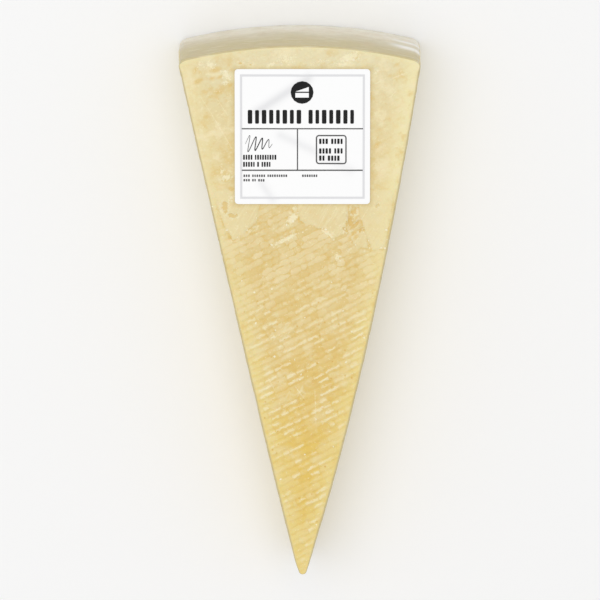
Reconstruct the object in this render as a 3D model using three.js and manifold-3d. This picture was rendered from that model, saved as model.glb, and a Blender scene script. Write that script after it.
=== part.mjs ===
// A chunk of pecorino romano: one thin wedge cut from a wheel of hard sheep's cheese, lying flat on its lower
// cut face, with a paper label stuck on the upper one. Millimetres, +Z up, rind towards +Y, tip towards -Y.
// The origin is the middle of the footprint, at the underside.
import * as THREE from 'three';
import { mergeVertices } from 'three/addons/utils/BufferGeometryUtils.js';
import Module from 'manifold-3d';

const wasm = await Module();
wasm.setup();

// ---- Driving dimensions ----
const LENGTH = 164; // tip to the middle of the rind
const WIDTH = 73.6; // between the rind corners, before they are rounded
const THICKNESS = 30; // between the two flat cuts
const WHEEL_RADIUS = 146; // of the rind, seen from above

// ---- Plan outline: two long cuts, each bowed a little, that meet the rind at its corners ----
const TIP_RADIUS = 1.35;
const TIP_X = 1; // the wedge was cut a little askew
const RIGHT_CUT = { side: 1, bow: 2.9, bowFromTip: 0.37 }; // how far it bulges, and at what share of its way
const LEFT_CUT = { side: -1, bow: 0.8, bowFromTip: 0.03 };
const CORNER_RADIUS = 3; // rounding of the two upright corners

// ---- Edges and rind, seen in section ----
const RIND_WIDEST_Z = 8; // the wheel's side is barrelled, and widest at this height
const RIND_LEAN = 1.3; // how far it stands in at the upper cut face
const RIND_FOOT = 0.2; // and at the lower one
const BARREL_FROM_Y = 66; // the cuts follow the barrelled side from here on
const EDGE_ROUND = 1.8; // rounding of the upper edges of the long cuts
const RIND_ROUND = 0.5; // of the upper edge of the rind
const TIP_ROUND = 0.7; // of the upper edge at the thin tip
const FOOT_ROUND = 0.7; // of the lower edges
const TIP_TAPER = 14; // length over which the tip's rounding grows into the cuts'
const CORNER_BLEND = { from: 0.6, to: 0.95 }; // where a cut's edge passes into the rind's, on its way there

// ---- Relief of the cut faces ----
const WIRE_ANGLE = THREE.MathUtils.degToRad(27); // the drag marks climb to the right
const CHATTER_PITCH = 1.9; // between drag marks
const CHATTER_DEPTH = 0.3;
const CHATTER_RUN = 7; // length over which a drag mark comes and goes
const CURD_LENGTH = 6; // of a curd grain, along the drag marks
const CURD_WIDTH = 4.2;
const CURD_DEPTH = 0.4;
const CURD_MIDDLE_Y = 10; // the band where the paste broke into curd grains
const CURD_REACH = 24;
const CRAG_LENGTH = 5; // of the low crags on the long cuts
const CRAG_HEIGHT = 6;
const CRAG_DEPTH = 0.45;
const LEAST_CARVE = 0.05; // the relief stays this far under the full thickness

// Places where the paste tore out: where, how far along and across the drag marks, and how deep.
const TORN_PITS = [
  { x: -22.1, y: 31.5, along: 2.6, across: 1.8, depth: 0.8 },
  { x: -19.9, y: 29.2, along: 3.4, across: 1.3, depth: 0.7 },
  { x: -13.7, y: 25, along: 3.2, across: 1.5, depth: 0.6 },
  { x: 15, y: 27, along: 5.4, across: 2.8, depth: 0.9 },
  { x: 23.5, y: 32.4, along: 2.4, across: 1.3, depth: 0.6 },
  { x: 3.4, y: 25.4, along: 6.5, across: 1.6, depth: 0.7 },
];

// ---- Label ----
const LABEL_WIDTH = 40.4;
const LABEL_HEIGHT = 41;
const LABEL_CORNER = 1;
const LABEL_THICKNESS = 0.25;
const LABEL_X = 0.9;
const LABEL_Y = 53.3;
const LABEL_GAP = 0.05;
const LABEL_SEAT_MARGIN = 1.5; // flat paste round the label, before the relief starts

// ---- Facets ----
const TIP_STEPS = 6;
const CUT_STEPS = 36; // along each long cut
const CORNER_STEPS = 5;
const RIND_STEPS = 22; // along the rind
const LEVELS = [0, 0.006, 0.023, 0.15, 0.32, 0.5, 0.67, 0.83, 0.94, 0.97, 0.99, 1]; // shares of the thickness
const FLAKE_LENGTH = 3.6; // along a drag mark

const HALF_LENGTH = LENGTH / 2;
const HALF_WIDTH = WIDTH / 2;
const WHEEL_CENTRE_Y = HALF_LENGTH - WHEEL_RADIUS;

const pasteMaterial = new THREE.MeshStandardMaterial({ color: 0xe9d69a, roughness: 0.55, metalness: 0 });
const paperMaterial = new THREE.MeshStandardMaterial({ color: 0xfcfcfc, roughness: 0.4, metalness: 0 });

// Repeatable noise from 0 to 1, smooth over a cell of 1.
function latticeValue(i, j) {
  const s = Math.sin(i * 127.1 + j * 311.7 + 17.3) * 43758.5453;
  return s - Math.floor(s);
}

function smoothNoise(x, y) {
  const i = Math.floor(x);
  const j = Math.floor(y);
  const u = THREE.MathUtils.smoothstep(x - i, 0, 1);
  const v = THREE.MathUtils.smoothstep(y - j, 0, 1);
  const low = THREE.MathUtils.lerp(latticeValue(i, j), latticeValue(i + 1, j), u);
  const high = THREE.MathUtils.lerp(latticeValue(i, j + 1), latticeValue(i + 1, j + 1), u);
  return THREE.MathUtils.lerp(low, high, v);
}

// The rind's Y at an X, seen from above at its widest.
function rindY(x) {
  return WHEEL_CENTRE_Y + Math.sqrt(WHEEL_RADIUS ** 2 - x ** 2);
}

// A long cut from the tip to just before its rind corner, and the corner's rounding from there to the rind.
function cutAndCorner(cut) {
  const tip = new THREE.Vector2(TIP_X + cut.side * TIP_RADIUS, TIP_RADIUS - HALF_LENGTH);
  const cornerX = cut.side * HALF_WIDTH;
  const corner = new THREE.Vector2(cornerX, rindY(cornerX));
  const outward = new THREE.Vector2(corner.y - tip.y, tip.x - corner.x).multiplyScalar(cut.side);
  const control = tip.clone().lerp(corner, cut.bowFromTip).add(outward.setLength(2 * cut.bow));
  const cutEnd = corner.clone().add(control.clone().sub(corner).setLength(CORNER_RADIUS));
  const rindX = cornerX - cut.side * CORNER_RADIUS;
  const rindEnd = new THREE.Vector2(rindX, rindY(rindX));
  return {
    along: new THREE.QuadraticBezierCurve(tip, control, cutEnd),
    around: new THREE.QuadraticBezierCurve(cutEnd, corner, rindEnd),
    rindAngle: Math.atan2(rindEnd.y - WHEEL_CENTRE_Y, rindEnd.x),
  };
}

// The plan outline, anticlockwise: the tip, the right cut, the rind from right to left, and the left cut.
function wedgeOutline() {
  const right = cutAndCorner(RIGHT_CUT);
  const left = cutAndCorner(LEFT_CUT);
  const tipY = TIP_RADIUS - HALF_LENGTH;
  const tip = new THREE.EllipseCurve(TIP_X, tipY, TIP_RADIUS, TIP_RADIUS, Math.PI, 2 * Math.PI);
  const angles = [right.rindAngle, left.rindAngle];
  const rind = new THREE.EllipseCurve(0, WHEEL_CENTRE_Y, WHEEL_RADIUS, WHEEL_RADIUS, ...angles);
  return [
    tip.getSpacedPoints(TIP_STEPS),
    right.along.getSpacedPoints(CUT_STEPS),
    right.around.getSpacedPoints(CORNER_STEPS),
    rind.getSpacedPoints(RIND_STEPS),
    left.around.getSpacedPoints(CORNER_STEPS).reverse(),
    left.along.getSpacedPoints(CUT_STEPS).reverse(),
  ].flatMap((points) => points.slice(0, -1));
}

// How far the barrelled side stands in from its widest line at a height.
function barrelInset(z) {
  if (z > RIND_WIDEST_Z) {
    return RIND_LEAN * ((z - RIND_WIDEST_Z) / (THICKNESS - RIND_WIDEST_Z)) ** 2;
  }
  return RIND_FOOT * ((RIND_WIDEST_Z - z) / RIND_WIDEST_Z) ** 2;
}

// How far a quarter-round edge stands in at a distance from the face that it meets.
function roundInset(radius, distance) {
  if (distance >= radius) return 0;
  return radius - Math.sqrt(radius ** 2 - (radius - distance) ** 2);
}

// The outline at one height. The rind end is drawn towards the wheel's middle, and the rounding of the edges
// and the crags go along the outline's normal.
function ringAt(outline, z) {
  return outline.map((point, k) => {
    const before = outline.at(k - 1);
    const after = outline[(k + 1) % outline.length];
    const inward = new THREE.Vector2(before.y - after.y, after.x - before.x).normalize();
    const wayToRind = (point.y - BARREL_FROM_Y) / (rindY(point.x) - BARREL_FROM_Y);
    const share = THREE.MathUtils.clamp(wayToRind, 0, 1);
    const onRind = THREE.MathUtils.smoothstep(share, CORNER_BLEND.from, CORNER_BLEND.to);
    const awayFromTip = THREE.MathUtils.smoothstep(point.y + HALF_LENGTH, 0, TIP_TAPER);
    const cutRound = THREE.MathUtils.lerp(TIP_ROUND, EDGE_ROUND, awayFromTip);
    const upperRound = THREE.MathUtils.lerp(cutRound, RIND_ROUND, onRind);
    const middle = Math.sin((Math.PI * z) / THICKNESS);
    const roughness = smoothNoise(point.y / CRAG_LENGTH, z / CRAG_HEIGHT + point.x);
    const crag = CRAG_DEPTH * (roughness - 0.5) * middle * (1 - onRind) * awayFromTip;
    const inset = roundInset(upperRound, THICKNESS - z) + roundInset(FOOT_ROUND, z) + crag;
    const shrink = 1 - (share * barrelInset(z)) / WHEEL_RADIUS;
    const x = point.x * shrink;
    const y = WHEEL_CENTRE_Y + (point.y - WHEEL_CENTRE_Y) * shrink;
    return new THREE.Vector3(x + inward.x * inset, y + inward.y * inset, z);
  });
}

// One closed solid through a stack of rings, with flat ends.
function loftGeometry(rings) {
  const count = rings[0].length;
  const cap = THREE.ShapeUtils.triangulateShape(rings[0].map((p) => new THREE.Vector2(p.x, p.y)), []);
  const topStart = (rings.length - 1) * count;
  const index = [];
  for (const [a, b, c] of cap) {
    index.push(c, b, a, topStart + a, topStart + b, topStart + c);
  }
  for (let level = 0; level < rings.length - 1; level += 1) {
    for (let k = 0; k < count; k += 1) {
      const low = level * count + k;
      const lowNext = level * count + ((k + 1) % count);
      index.push(low, lowNext, lowNext + count, low, lowNext + count, low + count);
    }
  }
  return new THREE.BufferGeometry().setFromPoints(rings.flat()).setIndex(index);
}

// How deep the upper cut face is carved: drag marks, curd grains and torn pits, and a flat seat for the label.
function carveDepth(x, y) {
  const along = x * Math.cos(WIRE_ANGLE) + y * Math.sin(WIRE_ANGLE);
  const across = y * Math.cos(WIRE_ANGLE) - x * Math.sin(WIRE_ANGLE);
  const row = Math.round(across / CHATTER_PITCH);
  const strength = THREE.MathUtils.smoothstep(smoothNoise(along / CHATTER_RUN, 4 * row), 0.15, 0.75);
  const chatter = CHATTER_DEPTH * strength * (0.5 - 0.5 * Math.cos((2 * Math.PI * across) / CHATTER_PITCH));
  const inCurd = Math.exp(-(((y - CURD_MIDDLE_Y) / CURD_REACH) ** 2));
  const curd = CURD_DEPTH * inCurd * smoothNoise(along / CURD_LENGTH, across / CURD_WIDTH);
  let depth = LEAST_CARVE + chatter + curd;
  for (const pit of TORN_PITS) {
    const dx = x - pit.x;
    const dy = y - pit.y;
    const u = (dx * Math.cos(WIRE_ANGLE) + dy * Math.sin(WIRE_ANGLE)) / pit.along;
    const v = (dy * Math.cos(WIRE_ANGLE) - dx * Math.sin(WIRE_ANGLE)) / pit.across;
    depth += pit.depth * Math.max(0, 1 - u * u - v * v);
  }
  const pastSide = Math.abs(x - LABEL_X) - LABEL_WIDTH / 2;
  const pastEnd = Math.abs(y - LABEL_Y) - LABEL_HEIGHT / 2;
  const bare = THREE.MathUtils.smoothstep(Math.max(pastSide, pastEnd), 0, LABEL_SEAT_MARGIN);
  return THREE.MathUtils.lerp(LEAST_CARVE, depth, bare);
}

// A block with that relief on top, its facets lying along the drag marks. It is larger than the wedge.
function reliefGeometry() {
  const span = LENGTH + WIDTH;
  const flakes = Math.round(span / FLAKE_LENGTH);
  const rows = 2 * Math.ceil(span / CHATTER_PITCH);
  const height = 2 * THICKNESS;
  const block = new THREE.BoxGeometry(span, (rows * CHATTER_PITCH) / 2, height, flakes, rows, 1);
  block.rotateZ(WIRE_ANGLE).translate(0, 0, THICKNESS - height / 2);
  const position = block.getAttribute('position');
  for (let i = 0; i < position.count; i += 1) {
    if (position.getZ(i) > 0) {
      position.setZ(i, THICKNESS - carveDepth(position.getX(i), position.getY(i)));
    }
  }
  return block;
}

function toSolid(geometry) {
  const bare = geometry.clone();
  for (const name of Object.keys(bare.attributes)) {
    if (name !== 'position') bare.deleteAttribute(name);
  }
  const merged = mergeVertices(bare, 1e-4);
  return new wasm.Manifold(new wasm.Mesh({
    numProp: 3,
    vertProperties: new Float32Array(merged.getAttribute('position').array),
    triVerts: new Uint32Array(merged.index.array),
  }));
}

function toGeometry(solid) {
  const mesh = solid.getMesh();
  const geometry = new THREE.BufferGeometry();
  geometry.setAttribute('position', new THREE.BufferAttribute(mesh.vertProperties, 3));
  geometry.setIndex(new THREE.BufferAttribute(mesh.triVerts, 1));
  geometry.computeVertexNormals();
  return geometry;
}

// The cheese, paste and rind in one piece.
function cheeseMesh() {
  const outline = wedgeOutline();
  const body = toSolid(loftGeometry(LEVELS.map((share) => ringAt(outline, share * THICKNESS))));
  const cheese = body.intersect(toSolid(reliefGeometry()));
  const mesh = new THREE.Mesh(toGeometry(cheese), pasteMaterial);
  mesh.name = 'pecorino_chunk';
  return mesh;
}

// The paper label, with softly rounded corners.
function labelMesh() {
  const reachX = LABEL_WIDTH / 2 - LABEL_CORNER;
  const reachY = LABEL_HEIGHT / 2 - LABEL_CORNER;
  const shape = new THREE.Shape();
  shape.absarc(reachX, reachY, LABEL_CORNER, 0, Math.PI / 2);
  shape.absarc(-reachX, reachY, LABEL_CORNER, Math.PI / 2, Math.PI);
  shape.absarc(-reachX, -reachY, LABEL_CORNER, Math.PI, 1.5 * Math.PI);
  shape.absarc(reachX, -reachY, LABEL_CORNER, 1.5 * Math.PI, 2 * Math.PI);
  const flat = { depth: LABEL_THICKNESS, bevelEnabled: false, curveSegments: 4 };
  const mesh = new THREE.Mesh(new THREE.ExtrudeGeometry(shape, flat), paperMaterial);
  mesh.name = 'label';
  mesh.position.set(LABEL_X, LABEL_Y, THICKNESS + LABEL_GAP);
  return mesh;
}

const chunk = new THREE.Group();
chunk.add(cheeseMesh(), labelMesh());

export default chunk;
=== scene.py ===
import math
from typing import NamedTuple

import bpy
import numpy as np
from bpy.props import FloatProperty, FloatVectorProperty, PointerProperty
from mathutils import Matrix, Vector


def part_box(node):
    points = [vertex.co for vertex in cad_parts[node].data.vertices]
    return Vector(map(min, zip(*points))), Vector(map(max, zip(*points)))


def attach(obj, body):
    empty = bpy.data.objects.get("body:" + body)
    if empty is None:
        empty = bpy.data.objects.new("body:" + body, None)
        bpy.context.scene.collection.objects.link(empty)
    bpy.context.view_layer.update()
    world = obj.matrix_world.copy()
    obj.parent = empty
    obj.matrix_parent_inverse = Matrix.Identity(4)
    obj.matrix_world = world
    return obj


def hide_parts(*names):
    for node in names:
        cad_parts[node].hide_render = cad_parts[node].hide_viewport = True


bl_info = {
    "name": "Pecorino romano chunk",
    "version": (1, 0, 0),
    "blender": (4, 5, 0),
    "location": "View3D > Sidebar > Cheese",
    "description": "Cuts a wedge of hard sheep's cheese with its rind, wire marks, crystals and paper label",
    "category": "Add Mesh",
}

MM = 0.001
PER_MM = 1000.0
SEED = 4

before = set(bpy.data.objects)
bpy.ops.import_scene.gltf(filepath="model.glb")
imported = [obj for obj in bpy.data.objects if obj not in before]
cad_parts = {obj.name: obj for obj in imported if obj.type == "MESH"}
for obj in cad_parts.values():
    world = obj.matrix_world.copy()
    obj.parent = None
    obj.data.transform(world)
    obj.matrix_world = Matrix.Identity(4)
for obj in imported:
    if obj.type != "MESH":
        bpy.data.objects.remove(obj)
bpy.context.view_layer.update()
CHEESE_LOW, CHEESE_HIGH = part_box("pecorino_chunk")
LABEL_LOW, LABEL_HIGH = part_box("label")
RIND_MIDDLE_Y = CHEESE_HIGH.y * PER_MM


def tint(red, green, blue):
    """A colour as a screen shows it, from 0 to 255, turned into the linear values of a colour property."""
    shares = [channel / 255 for channel in (red, green, blue)]
    return tuple(s / 12.92 if s <= 0.04045 else ((s + 0.055) / 1.055) ** 2.4 for s in shares)


def length_of(name, description, millimetres):
    return FloatProperty(name=name, description=description, default=millimetres * MM, unit="LENGTH")


def share_of(name, description, default):
    return FloatProperty(name=name, description=description, default=default, subtype="FACTOR", min=0, max=1)


def colour_of(name, description, red, green, blue):
    return FloatVectorProperty(name=name, description=description, default=tint(red, green, blue),
                               subtype="COLOR", size=3, min=0, max=1)


# ---- What the wedge shows at particular places, in millimetres ----

class Spot(NamedTuple):
    """An oval place on the upper cut face: middle, half lengths, turn in degrees and strength."""
    x: float
    y: float
    along: float
    across: float
    turn: float
    amount: float


class Scratch(NamedTuple):
    """A thin light scratch: its start, its length, its direction in degrees and its half width."""
    x: float
    y: float
    length: float
    turn: float
    half_width: float


def rows(kind, numbers):
    return [kind(*row) for row in numbers]


# The way the wire was drawn, in degrees from the X axis.
WIRE_TURN = 27.0

# Where the paste tore out; the amount is the depth.
TORN_PITS = rows(Spot, (
    (-22.3, 32.0, 1.2, 0.9, 80, 0.7), (-21.9, 30.3, 0.7, 0.5, 60, 0.6), (-20.2, 29.1, 1.3, 0.6, -8, 0.7),
    (-18.9, 29.2, 0.6, 0.5, 0, 0.5), (-13.7, 25.0, 1.2, 0.5, 35, 0.4), (-1.6, 30.4, 1.1, 0.7, 20, 0.4),
    (15.1, 27.5, 0.6, 1.9, 12, 0.7), (16.3, 30.6, 0.9, 1.5, -10, 0.6), (16.7, 26.2, 1.8, 0.5, 48, 0.7),
    (13.6, 24.9, 1.4, 0.45, -45, 0.6), (18.4, 25.0, 1.0, 0.5, 60, 0.5), (23.5, 32.4, 0.8, 0.6, 60, 0.5),
    (-17.6, 75.6, 1.1, 0.5, 15, 0.4), (-14.8, 75.2, 0.8, 0.5, -5, 0.4), (17.5, 77.4, 0.9, 0.5, 60, 0.3),
    (10.8, 75.6, 0.6, 0.35, 50, 0.4),
))

# Soft amber blotches.
STAINS = rows(Spot, (
    (-31.0, 73.2, 1.5, 0.9, 60, 0.6), (-25.0, 73.5, 1.9, 0.9, 15, 0.9), (-23.6, 71.4, 1.3, 0.6, 25, 0.7),
    (-26.0, 70.9, 1.4, 0.8, 20, 0.7), (-30.0, 70.1, 1.6, 0.9, 30, 0.8), (-20.5, 68.9, 1.2, 0.6, 40, 0.7),
    (-28.0, 66.8, 1.1, 0.7, -20, 0.6), (-24.4, 66.6, 1.3, 0.7, 10, 0.6), (-20.4, 37.3, 1.1, 0.6, -15, 0.9),
    (-24.5, 43.0, 1.6, 0.6, 12, 0.4), (-19.6, 44.0, 1.8, 0.6, 10, 0.5), (24.2, 72.9, 1.5, 1.0, 10, 0.4),
    (23.2, 50.6, 1.6, 1.0, 55, 0.6), (28.0, 51.5, 1.2, 0.8, 30, 0.4), (-2.0, 30.9, 1.2, 0.8, 20, 0.7),
    (-12.0, 26.9, 1.0, 0.6, 25, 0.7), (-5.5, 23.8, 1.1, 0.5, 25, 0.7), (17.0, 22.6, 1.1, 0.6, 40, 0.8),
    (12.2, 20.6, 1.0, 0.6, 20, 0.7), (6.0, 78.4, 1.6, 1.0, 20, 0.3),
))

# Pale crumbly places.
CRUMBS = rows(Spot, (
    (14.8, 77.2, 2.4, 1.2, 25, 0.9), (12.6, 75.0, 1.6, 0.6, 5, 0.8), (6.4, 76.0, 2.2, 0.9, 10, 0.5),
    (-4.0, 76.6, 3.4, 1.6, 5, 0.5), (-8.8, 74.9, 1.1, 0.5, 20, 0.8), (-26.6, 75.0, 1.6, 0.9, -50, 0.7),
    (-21.8, 71.8, 1.8, 0.8, -40, 0.8), (-22.0, 69.6, 1.0, 0.6, 30, 0.7), (-29.4, 75.2, 1.2, 1.4, 10, 0.5),
    (22.6, 72.6, 1.4, 0.6, 40, 0.6), (-21.6, 40.6, 1.6, 0.7, 10, 0.8), (-23.2, 42.6, 0.4, 1.3, 0, 0.7),
    (-20.2, 34.7, 1.4, 0.8, 50, 0.7), (-2.2, 28.1, 1.6, 0.9, 60, 1.0), (-1.4, 31.2, 0.8, 0.7, 30, 0.8),
    (8.2, 23.9, 1.9, 0.45, -38, 0.9), (13.3, 24.0, 0.9, 0.5, 50, 0.8), (11.4, 16.6, 0.8, 1.3, 25, 0.8),
    (-4.0, 21.9, 3.6, 0.6, 27, 0.9), (14.6, 18.6, 1.2, 0.6, 30, 0.5),
))

# Paste that the wire smeared smooth and pale: the corners of each patch, anticlockwise.
SMEARS = (
    ((-11.2, 37.0), (-25.5, 37.0), (-24.4, 32.0), (-22.4, 26.0), (-19.9, 21.7), (-16.9, 23.5),
     (-13.0, 27.2)),
    ((-0.6, 37.0), (-0.4, 32.4), (0.2, 27.6), (5.6, 25.3), (9.0, 25.6), (14.4, 27.5), (14.6, 37.0)),
    ((6.5, 26.6), (10.0, 21.9), (12.8, 23.5), (14.2, 27.5), (10.0, 29.0)),
    ((18.0, 37.0), (18.0, 30.3), (19.7, 24.1), (21.8, 18.6), (25.7, 19.2), (27.8, 32.4), (27.8, 37.0)),
    ((15.2, 22.3), (17.0, 19.5), (20.6, 19.2), (20.0, 24.1), (17.5, 24.4)),
    ((-9.6, -7.6), (-9.0, -10.4), (-1.4, -6.4), (-1.9, -3.6)),
    ((-4.6, -25.6), (-3.8, -28.4), (2.0, -25.4), (1.0, -22.8)),
)

# Light scratches.
SCRATCHES = rows(Scratch, (
    (-27.2, 61.8, 18.0, -60, 0.28), (-30.2, 66.5, 9.0, -58, 0.24), (-24.9, 65.2, 8.0, -58, 0.22),
    (22.2, 69.0, 6.5, 29, 0.26), (27.0, 70.6, 8.5, 22, 0.20), (27.0, 65.0, 4.0, 50, 0.20),
    (31.5, 49.0, 17.0, 74, 0.30), (6.4, 27.2, 9.0, 62, 0.22), (8.4, 26.6, 8.0, 62, 0.30),
    (18.6, 28.0, 6.0, 60, 0.20), (-9.6, -20.5, 6.5, -62, 0.26), (-1.5, -23.0, 7.0, -55, 0.26),
    (4.6, -23.5, 14.0, -88, 0.22),
))


class WedgeShape(bpy.types.PropertyGroup):
    """The wedge's outline from above, and its edges."""
    length: FloatProperty(name="Length", description="From the tip to the middle of the rind",
                          default=CHEESE_HIGH.y - CHEESE_LOW.y, unit="LENGTH")
    width: length_of("Width", "Between the rind corners, before they are rounded", 73.6)
    thickness: FloatProperty(name="Thickness", description="Between the two flat cuts",
                             default=CHEESE_HIGH.z + 0.05 * MM, unit="LENGTH")
    wheel_radius: length_of("Wheel radius", "Of the rind, seen from above", 146)
    tip_radius: length_of("Tip radius", "Of the thin end", 1.35)
    tip_x: length_of("Tip offset", "How far the wedge was cut askew", 1)
    right_bow: length_of("Right bow", "How far the right cut bulges", 2.9)
    right_bow_at: share_of("Right bow at", "Where on the right cut the bulge is, from the tip", 0.37)
    left_bow: length_of("Left bow", "How far the left cut bulges", 0.8)
    left_bow_at: share_of("Left bow at", "Where on the left cut the bulge is, from the tip", 0.03)
    corner_radius: length_of("Corner radius", "Of the two upright corners", 3)
    rind_widest: length_of("Widest height", "Where the barrelled rind stands out most", 8)
    rind_lean: length_of("Rind lean", "How far the rind stands in at the upper cut face", 1.3)
    rind_foot: length_of("Rind foot", "How far the rind stands in at the lower cut face", 0.2)
    barrel_from: length_of("Barrel from", "The cuts follow the barrelled side from this Y on", 66)
    edge_round: length_of("Cut edge", "Rounding of the upper edges of the long cuts", 1.8)
    rind_round: length_of("Rind edge", "Rounding of the upper edge of the rind", 0.5)
    tip_round: length_of("Tip edge", "Rounding of the upper edge at the tip", 0.7)
    foot_round: length_of("Foot edge", "Rounding of the lower edges", 0.7)
    tip_taper: length_of("Tip taper", "Length over which the tip's rounding grows into the cuts'", 14)
    facet: length_of("Facet", "Spacing of the mesh on the upper cut face", 0.38)


class CutFaceMarks(bpy.types.PropertyGroup):
    """What the wire and the broken curd leave on the cut faces."""
    pitch: length_of("Row pitch", "Between the rows of curd chips that the wire dragged", 1.88)
    chip: length_of("Chip length", "Of a curd chip, along its row", 4.4)
    gap_depth: length_of("Gap depth", "Of the gaps between chips", 0.26)
    drag_height: length_of("Drag height", "Of the ridges on the rows, towards the tip", 0.14)
    smear_height: length_of("Smear height", "Of the smooth patches above the broken paste", 0.16)
    crag_size: length_of("Crag size", "Of the low crags on the long cuts", 5)
    crag_depth: length_of("Crag depth", "Of the low crags on the long cuts", 0.7)
    least: length_of("Least carve", "The relief stays this far under the full thickness", 0.05)


class PasteColours(bpy.types.PropertyGroup):
    """Colours of the paste and the rind."""
    near_rind: colour_of("Near rind", "Paste close to the rind", 230, 220, 180)
    middle: colour_of("Middle", "Paste half way", 226, 205, 149)
    upper: colour_of("Upper", "Paste beside the label", 227, 209, 156)
    lower: colour_of("Lower", "Paste towards the tip", 226, 197, 123)
    tip: colour_of("Tip", "Paste at the tip", 229, 196, 93)
    edge_near_rind: colour_of("Edge near rind", "Long edges close to the rind", 239, 229, 180)
    edge_lower: colour_of("Lower edge", "Long edges towards the tip", 233, 211, 132)
    grain: colour_of("Grain", "Pale curd chips", 236, 218, 170)
    gap: colour_of("Gap", "Amber gaps between the chips", 221, 186, 102)
    drag: colour_of("Drag mark", "Pale dashes dragged up by the wire", 246, 236, 198)
    smear: colour_of("Smear", "Smooth pale paste", 234, 220, 172)
    crystal: colour_of("Crystal", "White crystals in the paste", 246, 238, 210)
    pit: colour_of("Torn pit", "Amber paste where it tore out", 222, 186, 106)
    # painted shadow: the label's shadow on the paste round it, as a darker colour
    shadowed: colour_of("Round the label", "Paste pressed and damp round the label", 206, 182, 124)
    # painted shade: the long cuts, seen edge on from above, show as a darker rim
    side: colour_of("Long cut", "Paste of the long cuts, darkened at their upper edge", 204, 189, 142)
    # the rind's tones from its upper edge to its foot; the pale foot is partly painted light from the floor
    # and film, partly the rind's own bloom
    rind_upper: colour_of("Upper rind", "Tan upper part of the rind", 202, 188, 140)
    rind_high_middle: colour_of("Upper middle of the rind", "Tan turning pale", 214, 204, 173)
    rind_low_middle: colour_of("Lower middle of the rind", "Pale beige", 234, 226, 204)
    rind_lower: colour_of("Lower rind", "Pale foot of the rind", 242, 238, 222)
    rind_warm: colour_of("Warm rind", "Warmer blotches of the rind", 206, 186, 148)
    speck: colour_of("Speck", "Amber specks between the drag marks", 216, 174, 84)
    film: colour_of("Film", "Pale gleam on the creases of the clear film", 253, 251, 244)


class ScatteredLumps(bpy.types.PropertyGroup):
    """White crystals and torn flakes."""
    crystals: FloatProperty(name="Crystals", description="Crystals to a square metre", default=9000)
    crystal_least: length_of("Smallest crystal", "Across", 0.35)
    crystal_most: length_of("Largest crystal", "Across", 0.95)
    flakes: FloatProperty(name="Flakes", description="Flakes to a square metre", default=150000)
    flake_least: length_of("Smallest flake", "Across", 0.3)
    flake_most: length_of("Largest flake", "Across", 1.2)
    crystal_flatness: share_of("Crystal flatness", "Thickness of a crystal as a share of its width", 0.3)
    flatness: share_of("Flatness", "Thickness of a flake as a share of its width", 0.2)


class LabelShape(bpy.types.PropertyGroup):
    """The paper label and its print."""
    corner: length_of("Corner", "Rounding of the label's corners", 1)
    cell: length_of("Cell", "Spacing of the label's mesh", 0.45)
    crease: length_of("Crease", "Height of the soft creases", 0.4)
    crease_shade: colour_of("Crease shade", "Paper beside a crease", 226, 226, 228)
    ink: length_of("Ink", "Thickness of the printed shapes", 0.02)
    paper: colour_of("Paper", "The label's paper", 252, 252, 252)
    black: colour_of("Black ink", "The bold print", 18, 18, 18)
    grey: colour_of("Dark grey ink", "The rules and the fine print", 86, 86, 86)
    pale: colour_of("Light grey ink", "The frame line", 224, 224, 226)


class StageSetup(bpy.types.PropertyGroup):
    """The camera, the lights and the floor."""
    tilt: FloatProperty(name="Tilt", description="Lean of the camera from straight down, towards the rind",
                        default=math.radians(12.5), subtype="ANGLE")
    distance: length_of("Distance", "From the camera to the cheese", 2000)
    view_width: length_of("View width", "Width of the picture at the upper cut face", 180)
    aim: FloatVectorProperty(name="Aim", description="The point in the middle of the picture",
                             default=(0.18 * MM, 3.339 * MM, 30 * MM), subtype="TRANSLATION", unit="LENGTH")
    key_power: FloatProperty(name="Key light", description="Power of the soft light, in watts", default=8.4)
    sky: FloatProperty(name="Sky", description="Strength of the even light from all round", default=0.68)
    floor: colour_of("Floor", "The pale floor", 248, 248, 248)


# ---- Node wiring ----

def pick(sockets, key):
    """A socket by its place, or by its identifier or name."""
    if isinstance(key, int):
        return sockets[key]
    for socket in sockets:
        if socket.identifier == key:
            return socket
    return sockets[key]


class Wire:
    """One node output. Arithmetic on it adds Math nodes to its tree."""

    def __init__(self, nodes, socket):
        self.nodes = nodes
        self.socket = socket

    def __add__(self, other):
        return self.nodes.maths("ADD", self, other)

    def __radd__(self, other):
        return self.nodes.maths("ADD", other, self)

    def __sub__(self, other):
        return self.nodes.maths("SUBTRACT", self, other)

    def __rsub__(self, other):
        return self.nodes.maths("SUBTRACT", other, self)

    def __mul__(self, other):
        return self.nodes.maths("MULTIPLY", self, other)

    def __rmul__(self, other):
        return self.nodes.maths("MULTIPLY", other, self)

    def __truediv__(self, other):
        return self.nodes.maths("DIVIDE", self, other)

    def __abs__(self):
        return self.nodes.maths("ABSOLUTE", self)


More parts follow.
